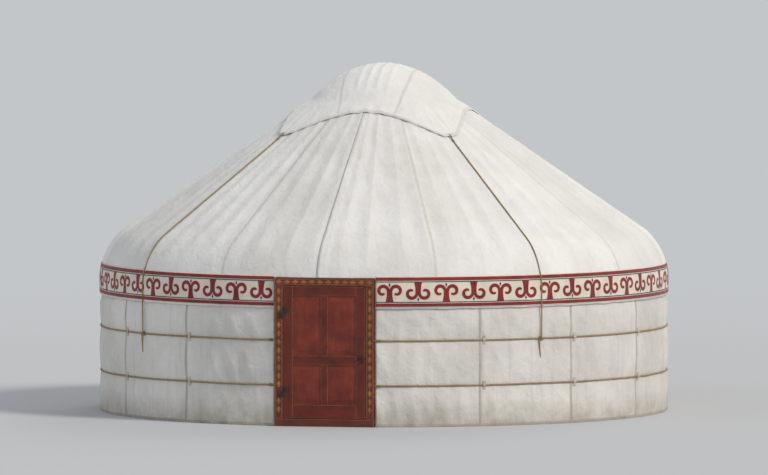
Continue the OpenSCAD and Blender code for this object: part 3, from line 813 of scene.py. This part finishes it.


# The wall canvas is drawn greyer than the same canvas on the roof and crown: painted shade on the upright
# wall.
wall_canvas = cotton_canvas("cotton_canvas_wall", "#E3E1DB", "#CCC9C1",
                            soil_top=0.36, streaks=0.34, grime=1.0)
lining = wool_felt("grey_wool_felt", "#B9AD9B", "#9C907E")
cut_felt = wool_felt("cut_edge_of_felt", "#C9BFAF", "#B1A695")
tones = np.random.default_rng(5)
wall_zs = stops_between(0.0, wall_top, 0.036, [
    0.004, 0.024, 0.025, 0.031, 0.0315, eave_z - 0.03, eave_z - 0.012, eave_z,
    *[r + d for r in rope_zs for d in (-0.045, -0.026, -0.014, -0.007, 0, 0.007, 0.014, 0.026, 0.045)]])
z = wall_zs[:, None]
reach = lap_w / degree
for q, (label, laps) in enumerate(quarter_laps.items()):
    start = wall_start + q * quarter
    turn, nearest, past, inside, mark, tone = laid_out(
        start, quarter, laps, reach, breadths, degree, 0.35,
        np.array([-felled_w - 0.002, -felled_w, 0, felled_w, felled_w + 0.002]) / degree,
        [start - reach + 0.02, start + quarter + reach - 0.02])
    swell = wall_swell(turn, z)
    felled = 0.0013 * (np.abs(nearest) < felled_w + 0.0001)
    hem = hem_t * (inside < hem_w)
    over = 0.0038 * ease(past, -0.03, 0.0)
    foot_hem = 0.0010 * (z < 0.0245)
    radius = wall_r + swell + np.maximum(felled, hem) + foot_hem + over
    bare_r = np.where(past > 0, wall_r + swell + 0.0012, np.maximum(radius - cover_t, wall_in + 0.0003))
    low = (z < 0.0312) & (inside > 0.03)
    seam = as_points(np.where(low, z - 0.016, mark), np.where(low, turn * degree, z))
    cover = cloth(f"wall_cover_{label}_cloth", polar(turn, radius, z), polar(turn, bare_r, z),
                  [wall_canvas, lining, cut_felt], as_points(turn * degree, z), seam, tone)
    on_body(cover, "wall_canvas", f"wall_cover_{label}")


# Roof covers: four quarters of the same felt and canvas, cut as cones from four gores each. They lie on the
# poles, so each pole shows as a soft ridge, turn over the wall head and hang as far as the eave.
shoulder_r, eave_drop = 0.640, 0.155
roof_r, shoulder_z = roof_high.x - cover_t, eave_z + eave_drop
roof_turn = math.pi / 2 - roof_slope
arc_len = shoulder_r * roof_turn
shoulder_in = roof_r - shoulder_r
cone_start_r = shoulder_in + shoulder_r * math.sin(roof_slope)
roof_top_r = 0.700
roof_len = eave_drop + arc_len + (cone_start_r - roof_top_r) / math.cos(roof_slope)
pole_turns = np.sort([door_turn + k * pitch for k in range(1, sections * cells)]
                     + [(i - 1.5) * pitch % 360 for i in range(4)])


def roof_point(turn, s, lift):
    """A point of the roof at a distance s up its inner line from the eave, and lift outward from it."""
    t = np.clip((s - eave_drop) / shoulder_r, 0, roof_turn)
    radius = shoulder_in + (shoulder_r + lift) * np.cos(t)
    z = shoulder_z + (shoulder_r + lift) * np.sin(t)
    hang = np.minimum(s - eave_drop, 0)
    climb = np.maximum(s - eave_drop - arc_len, 0)
    return polar(turn, radius - climb * math.cos(roof_slope), z + hang + climb * math.sin(roof_slope))


def roof_relief(turn, s):
    """How far the cloth lies above or below the tops of the poles: it dips between them, sinks under the
    ropes and has long soft folds."""
    ring = np.concatenate([[pole_turns[-1] - 360], pole_turns, [pole_turns[0] + 360]])
    spot = np.mod(turn, 360)
    after = np.clip(np.searchsorted(ring, spot, side="right"), 1, len(ring) - 1)
    gap = ring[after] - ring[after - 1]
    t = (spot - ring[after - 1]) / gap
    roof_at = -roof_point(0.0, s, 0.0)[..., 1]
    on_slope = ease(s, eave_drop + 0.10, eave_drop + arc_len + 0.1)
    slack = 1 + 0.45 * ripples(turn, s, 21, 6, 5, 30, 1.0)
    sag = 2 * t * (1 - t) + 0.5 * np.sin(np.pi * t) ** 2
    dip = 0.055 * np.radians(gap) * roof_at * sag * on_slope * slack
    folds = 0.0030 * ripples(turn + 6 * s, s, 22, 8, 24, 80, 2.4) * on_slope
    across = 9 * np.sin(np.radians(turn) + 0.4)
    rolls = 0.0024 * ripples(np.degrees(s), across, 25, 7, 16, 44, 2.0) * on_slope
    pleats = 0.0030 * ripples(turn, s, 23, 8, 80, 150, 0.8) * (1 - ease(s, 0.34, 0.95)) * ease(s, 0.24, 0.50)
    off = [np.radians((spot - r + 180) % 360 - 180) * roof_at for r in rope_turns]
    return -dip + folds + rolls + pleats - 0.0045 * sum(bell(x, 0.026) for x in off) * on_slope


# Drawn lighter than the wall canvas: painted light on the roof, which faces the sky.
roof_canvas = cotton_canvas("cotton_canvas_roof", "#F0EFEB", "#E0DED8", streaks=0.16, grime=0.35)
gores, roof_lap, hem_hang = 4, 0.085, 0.016
door_edge = wall_start + 0.03
over_door = eave_drop + shoulder_r * math.radians(13.3)
s = stops_between(-hem_hang, roof_len, 0.055,
                  [0.0, over_door, over_door + 0.024, over_door + 0.027, eave_drop])
above_door = (s[1:] + s[:-1])[:, None] / 2 > over_door
s = s[:, None]
round_m = -roof_point(0.0, s, 0.0)[..., 1]
reach = math.degrees(roof_lap / roof_r)
# Over the door the front pair meets, so there the right one laps too.
for q, (label, laps) in enumerate({**quarter_laps, "front_right": (1, 1)}.items()):
    turn, nearest, past, inside, mark, tone = laid_out(
        q * 90.0, 90.0, laps, reach, gores, math.radians(1) * round_m, 0.52,
        extra=[*pole_turns, door_edge, 360 - door_edge])
    relief = roof_relief(turn, s)
    felled = 0.0016 * np.exp(-(nearest / 0.013) ** 4)
    over = (0.0060 - 0.0032 * ease(s, roof_len - 0.42, roof_len - 0.30)) * ease(past, -0.04, 0.0)
    wave = s + 0.006 * ripples(turn, 0 * s, 24 + q, 7, 20, 80, 0.0) * (s < -0.001)
    lift = cover_t + relief + felled + over
    bare = np.where(past > 0, cover_t + relief + 0.0014, relief + 0.0002)
    bare = np.where(s < 0, np.maximum(bare, cover_t - 0.004), bare)
    beside_door = np.abs(((turn[1:] + turn[:-1]) / 2 + 180) % 360 - 180) >= door_edge
    cover = cloth(f"roof_cover_{label}_cloth", roof_point(turn, wave, lift), roof_point(turn, wave, bare),
                  [roof_canvas, lining, cut_felt], as_points(nearest, s), as_points(mark, s), tone,
                  keep=above_door | beside_door)
    on_body(cover, "roof_canvas", f"roof_cover_{label}")


# Eave band: a strip of white cloth tied round the eave, sewn with ram's-horn scrolls and borders of red felt
# and edged with dark cord. It hides the roof cover's hem.
band_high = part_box("eave_band")[1]
band_top = eave_drop + shoulder_r * math.asin((band_high.z - shoulder_z) / (shoulder_r + 0.0164))
band_start, band_lift = door_edge + 0.01, 0.0172
band_r = shoulder_in + shoulder_r + band_lift
roof_laps = (90 + reach / 2, 180 + reach / 2, 270 - reach / 2)


def band_relief(turn, s):
    """The band is drawn tight, so little of what lies under it shows but the laps of the roof covers."""
    laps = sum(np.exp(-((turn - lap) * math.radians(1) * roof_r / 0.075) ** 4) for lap in roof_laps)
    return band_lift + 0.0010 * ripples(turn, s, 31, 8, 30, 110, 1.0) + 0.0048 * laps


def dyed_cloth(name, light, dark):
    """Wool cloth, thin felt or webbing, dyed in the piece: matt, slightly mottled."""
    made, add = material(name)
    place = add("TexCoord").outputs["Object"]
    cloud = add("TexNoise", Vector=place, Scale=6.0, Detail=6.0, Roughness=0.65)
    nap = add("TexNoise", Vector=place, Scale=260.0, Detail=2.0)
    tone = add("ValToRGB", cloud, stops=[(0.3, dark), (0.65, light)])
    bump = add("Bump", Height=nap, Strength=0.5, Distance=0.0006)
    return surface(made, Base_Color=tone, Normal=bump, Roughness=0.9, Sheen_Weight=0.2, Sheen_Roughness=0.5)


band_cloth = dyed_cloth("white_wool_band", "#E3DCCD", "#CFC6B3")
turn = stops_between(band_start, 360 - band_start, 0.5)
s = stops_between(0.0, band_top, 0.034, [0.006])[:, None]
lift = band_relief(turn, s)
uv = as_points(np.radians(turn) * band_r, s)
band = cloth("eave_band_cloth", roof_point(turn, s, lift), roof_point(turn, s, lift - 0.003), [band_cloth],
             uv, uv, 0.0)
on_body(band, "band_cloth", "eave_band")


def sewn_strip(line, widths):
    """A strip of felt on the band: line is its middle, in metres along and up the band, and widths its width
    at each point. It stands 2 mm proud and its edges go down into the cloth."""
    half = heading(line)[:, ::-1] * (-1, 1) * np.array(widths)[:, None] / 2
    corners = []
    for side, rise in ((1, -0.001), (1, 0.0022), (-1, 0.0022), (-1, -0.001)):
        edge = line + side * half
        turn = np.degrees(edge[:, 0] / band_r)
        corners.append(roof_point(turn, edge[:, 1], band_relief(turn, edge[:, 1]) + rise))
    n = len(line)
    faces = grid_faces(4, n)[..., [0, 3, 2, 1]].reshape(-1, 4).tolist()
    return np.concatenate(corners), faces + [[0, 3 * n, 2 * n, n], [n - 1, 2 * n - 1, 3 * n - 1, 4 * n - 1]]


def horn(centre, foot, up, side, size):
    """Half of a ram's horn: a stem that rises from a border and curls outward and in again."""
    t = np.linspace(0, 1, 24)
    sweep, radius = np.pi * (1 - 1.72 * t), 0.047 - 0.024 * t
    curl = np.stack([0.057 + np.cos(sweep) * radius, 0.090 + np.sin(sweep) * radius], -1)
    line = np.concatenate([[(0.010, 0.0), (0.010, 0.030), (0.010, 0.060)], curl])
    widths = np.concatenate([[0.046, 0.032, 0.026], 0.026 + 0.006 * np.sin(np.pi * t) - 0.009 * t])
    widths[-1] = 0.010
    return (centre, foot) + line * size * (side, up), widths * size


red_felt = dyed_cloth("madder_red_felt", "#8E2C28", "#6F1F1F")
blue_cord = dyed_cloth("indigo_cord", "#34405A", "#252E44")
band_from = np.radians(band_start) * band_r
band_len = np.radians(360 - 2 * band_start) * band_r
border_w, border_in, cord_w, repeats = 0.034, 0.008, 0.009, 30
cord_in, field_in = border_w + 0.020, border_w + 0.024
unit, size = band_len / repeats, (band_top - 2 * field_in) / 0.162
strips = []
along = np.linspace(band_from + 0.004, band_from + band_len - 0.004, 560)
for inset, w, kind in ((border_in + border_w / 2, border_w, 0), (cord_in, cord_w, 1)):
    for s in (inset, band_top - inset):
        strips.append((sewn_strip(as_points(along, s), 0 * along + w), kind))
for i in range(repeats):
    for shift, foot, up in ((0.25, field_in, 1), (0.75, band_top - field_in, -1)):
        centre, tip = band_from + (i + shift) * unit, foot + up * 0.140 * size
        strips += [(sewn_strip(*horn(centre, foot, up, side, size)), 0) for side in (-1, 1)]
        diamond = np.array([(centre, tip - 0.020), (centre, tip), (centre, tip + 0.020)])
        strips.append((sewn_strip(diamond, [0.002, 0.022, 0.002]), 1))
solids, kinds = zip(*strips)
sewn = joined("eave_band_applique", solids, [red_felt, blue_cord], kinds)
on_body(sewn, "band_cloth")


# Crown cover: a square of canvas sewn from three widths, with a hem and corner patches. It lies on the bent
# slats and the ring and is drawn down by a rope from each corner.
ring_r, ring_z, ring_half_w, ring_half_h, dome_rise = 0.680, 3.31641, 0.0375, 0.042, 0.300
rim_r, rim_z = ring_r + ring_half_h * math.sin(roof_slope), ring_z + ring_half_h * math.cos(roof_slope)
dome_edge = rim_r - ring_half_w * math.cos(roof_slope)
dome_r = (dome_edge ** 2 + dome_rise ** 2) / (2 * dome_rise)
dome_z = rim_z + ring_half_w * math.sin(roof_slope) + dome_rise - dome_r
leave = math.atan2(rim_r, rim_z - dome_z) - math.acos(dome_r / math.hypot(rim_r, rim_z - dome_z))
cone_top_z = shoulder_z + shoulder_r * math.cos(roof_slope)
crown_half, crown_corner, crown_hem, crown_seam = 0.970, 1.290, 0.0275, 0.36
patch_len, patch_turn = 0.24, 9.5


def crown_height(radius, lift):
    """Height of the crown cover at a radius: the dome of the slats, the stretch down from the ring's edge
    and the roof cover below it."""
    dome = dome_z + np.sqrt(np.maximum((dome_r + lift) ** 2 - radius ** 2, 0))
    tight = dome_z + (dome_r + lift - radius * math.sin(leave)) / math.cos(leave)
    roof = cone_top_z + (cone_start_r - radius) * math.tan(roof_slope)
    roof = roof + (cover_t + lift) / math.cos(roof_slope)
    return np.where(radius < (dome_r + lift) * math.sin(leave), dome, np.maximum(tight, roof))


def crown_relief(turn, radius):
    """How far the crown cover lies above or below its true shape."""
    t = np.radians(turn)
    x, y, _ = np.moveaxis(polar(turn, radius, 0.0), -1, 0)
    ridge = 0
    for off in (-0.165, -0.055, 0.055, 0.165):
        ridge = np.maximum(ridge, np.maximum(bell(x - off, 0.024), 0.45 * bell(y - off, 0.024)))
    sag = 0.0095 * (1 - ridge) * (1 - ease(radius, 0.56, 0.70)) * ease(radius, 0.0, 0.06)
    to_corner = np.cos(2 * (t - np.pi / 4)) ** 2
    folds = 0.0055 * ripples(turn, radius * 3, 41, 8, 12, 48, 1.4) * ease(radius, 0.68, 0.86)
    pulls = 0.0035 * to_corner ** 6 * np.cos(90 * t) * ease(radius, 0.75, 1.0)
    hang = 0.0085 * bell(radius - 0.775, 0.055) * (1 - 0.6 * to_corner ** 2)
    return (folds + pulls) * (0.35 + 0.65 * ease(radius, 0.76, 0.92)) - sag - hang


crown_canvas = cotton_canvas("cotton_canvas_crown", "#F2F1ED", "#E4E2DC", streaks=0.10, grime=0.3)
# The underside is the crown canvas drawn darker: painted shade.
shaded_crown_underside = cotton_canvas("cotton_canvas_underside", "#C9C3B6", "#B5AE9F", streaks=0.0)
by_corner = [c + d for c in rope_turns for d in (-7, -4.5, -2.5, -1, 0, 1, 2.5, 4.5, 7)]
turn = stops_between(0.0, 360.0, 1.6, by_corner)[:-1]
t = np.radians(turn)
side = crown_half / np.maximum(np.abs(np.sin(t)), np.abs(np.cos(t))) * (1 - 0.045 * np.cos(2 * t) ** 2)
edge_r = -0.02 * np.log(np.exp(-side / 0.02) + math.exp(-(crown_corner - 0.006) / 0.02))
out_share = stops_between(0.0, 1.0, 0.0215, [0.004, 0.9725, 0.9755])[:, None]
radius = np.maximum(out_share, 0.003) * edge_r
hem = hem_t * (edge_r - radius < crown_hem)
patch = hem_t * ((crown_corner - radius) / patch_len + np.abs((turn % 90) - 45) / patch_turn < 1)
wave = 0.006 * ripples(turn, 0 * radius, 43, 7, 12, 46, 0.0) * ease(out_share, 0.86, 1.0)
wave = wave * np.abs(np.cos(2 * t))
run = np.hypot(np.diff(radius[:, 0]), np.diff(crown_height(radius[:, 0], 0)))
away = np.concatenate([[0], np.cumsum(run)])[:, None] * edge_r / edge_r[0]
uv = polar(turn, away, 0.0)[..., :2]
from_seam = uv[..., 0] - np.where(uv[..., 0] > 0, crown_seam, -crown_seam)
felled = hem_t * (np.abs(from_seam) < 0.016)
near_edge = edge_r - radius < 0.045
mark = np.where(near_edge, (edge_r - radius - 0.0145) * np.sign(from_seam), from_seam)
seam = np.stack([mark, np.where(near_edge, t * edge_r, uv[..., 1])], -1)
lift = cover_t + 0.0004 + crown_relief(turn, radius) + hem + patch + felled + np.maximum(wave, -0.001)
width = np.clip(((uv[..., 0] + 3 * crown_seam) / (2 * crown_seam)).astype(int), 0, 2)
tone = tones.uniform(0.3, 1, 3)[width]
underside = lift - 0.008 - 0.0035 * (1 - ease(out_share, 0.9, 1.0))
outer, inner = (polar(turn, radius, crown_height(radius, up))[::-1] for up in (lift, underside))
crown_cover = cloth("crown_cover_cloth", outer, inner, [crown_canvas, shaded_crown_underside, crown_canvas],
                    uv[::-1], seam[::-1], tone[::-1], domed=True)
on_body(crown_cover, "crown_canvas", "crown_cover")


# Ropes: two girths of 18 mm rope round the wall, each end passed into the jamb and whipped, and four 14 mm
# ropes from eyelets in the crown cover's corners, over the eave band, hitched to the upper girth.
rope_r, girth_r, groove_depth = 0.007, 0.009, 0.16
rope_lay, girth_lay = 0.042, 0.055
girth_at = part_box("wall_rope_upper")[1].x - girth_r
for name, z in zip(girths, rope_zs):
    half = beside_frame(girth_at - girth_r)
    turn = np.linspace(half - 0.3, 360 - half + 0.3, 2200)
    settle = 0.0016 * ripples(turn, 0 * turn, 51, 6, 20, 70, 0.0)
    level = z + 0.0022 * ripples(turn, 0 * turn, 52 + int(z * 10), 6, 5, 24, 0.0)
    tubes = [rope_tube(polar(turn, girth_at + settle, level), girth_r, 10, girth_lay, groove_depth)]
    for end in (half + 0.9, 360 - half - 0.9):
        whipping = wraps(polar(end, girth_at, z), polar(end, 0.011, 0.0), (0, 0, 0.011),
                         polar(end + 90, 0.0058, 0.0), 6)
        tubes.append(rope_tube(whipping, yarn_r, 8))
    on_body(joined(f"{name}_laid", tubes, [hemp], smooth=True), "rope", name)

# Keepers: loops of cotton webbing sewn to the wall canvas beside its seams, which hold the girths up.
webbing = dyed_cloth("cotton_webbing", "#CDC1A8", "#A99B80")
keeper_w, keeper_t = 0.034, 0.0022
drop = np.array([0.0045, 0.009, 0.014, 0.022, 0.040, 0.046])
drop = np.concatenate([-drop[::-1], [0], drop])[:, None]
off_wall = np.interp(np.abs(drop), [0.0, 0.022, 0.040, 0.046], [0.0, 0.0030, 0.0026, 0.0020])
off_rope = np.interp(np.abs(drop), [0.009, 0.0145], [0.0, 0.010])
on_rope = girth_at + np.sqrt((girth_r + 0.0028) ** 2 - np.minimum(np.abs(drop), 0.009) ** 2) - off_rope
on_rope[np.abs(drop) > 0.016] = 0
keepers = []
for q in range(4):
    for b in range(1, breadths):
        turn = wall_start + (q + b / breadths) * quarter + 0.045 / degree
        turn = turn + np.array([-1, -0.5, 0, 0.5, 1]) * keeper_w / 2 / degree
        for z in rope_zs:
            out = np.maximum(wall_r + wall_swell(turn, z + drop) + off_wall, on_rope)
            outer, inner = (polar(turn, r, z + drop) for r in (out, out - keeper_t))
            keepers.append(closed_cloth(outer, inner)[:2])
on_body(joined("girth_keepers", keepers, [webbing], smooth=True), "wall_canvas")

corner_s = roof_len - (crown_corner - roof_top_r) / math.cos(roof_slope)
on_cover, on_girth = cover_t + rope_r - 0.0036, girth_at + girth_r + rope_r
s = np.concatenate([np.linspace(corner_s + 0.062, band_top + 0.03, 150),
                    np.linspace(band_top + 0.02, 0.0, 60)])
lift = on_cover + (band_lift + rope_r - on_cover) * (1 - ease(s, band_top - 0.01, band_top + 0.035))
lift = lift + (cover_t + 0.0022) * ease(s, corner_s - 0.035, corner_s + 0.012)
lift = lift - 0.020 * ease(s, corner_s + 0.048, corner_s + 0.062)
drop_z = np.linspace(eave_z - 0.008, rope_zs[1] + 0.012, 40)
drop_r = np.interp(drop_z, [drop_z[-1], drop_z[0]], [on_girth - 0.001, band_r + rope_r])
along = np.linspace(0, 1, 26)
tubes = []
for turn in rope_turns:
    out, ahead = polar(turn, 1.0, 0.0), polar(turn + 90, 1.0, 0.0)
    path = np.concatenate([roof_point(turn, s, lift), polar(turn, drop_r, drop_z)])
    girth_spot = polar(turn, girth_at + 0.0015, rope_zs[1])
    hitch = wraps(girth_spot, out * 0.0138, (0, 0, 0.0155), ahead * 0.0138, 3)
    tail = polar(turn - 0.42 + 0.25 * along ** 2, on_girth - 0.004 - 0.0045 * along,
                 rope_zs[1] - 0.006 - 0.19 * along)
    for line, thick in ((path, rope_r), (hitch, rope_r - 0.0004), (tail, rope_r)):
        tubes.append(rope_tube(line, thick, lay=rope_lay, depth=groove_depth))
    top = roof_point(turn, np.array([corner_s - 0.05, corner_s - 0.06]), on_cover)
    up = (top[0] - top[1]) / np.linalg.norm(top[0] - top[1])
    whipping = wraps(top[0], np.cross(ahead, up) * 0.009, ahead * 0.009, up * 0.0056, 6)
    tubes.append(rope_tube(whipping, 0.0028, 8))
on_body(joined("roof_ropes_laid", tubes, [hemp], smooth=True), "rope", "roof_ropes")


low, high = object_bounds()
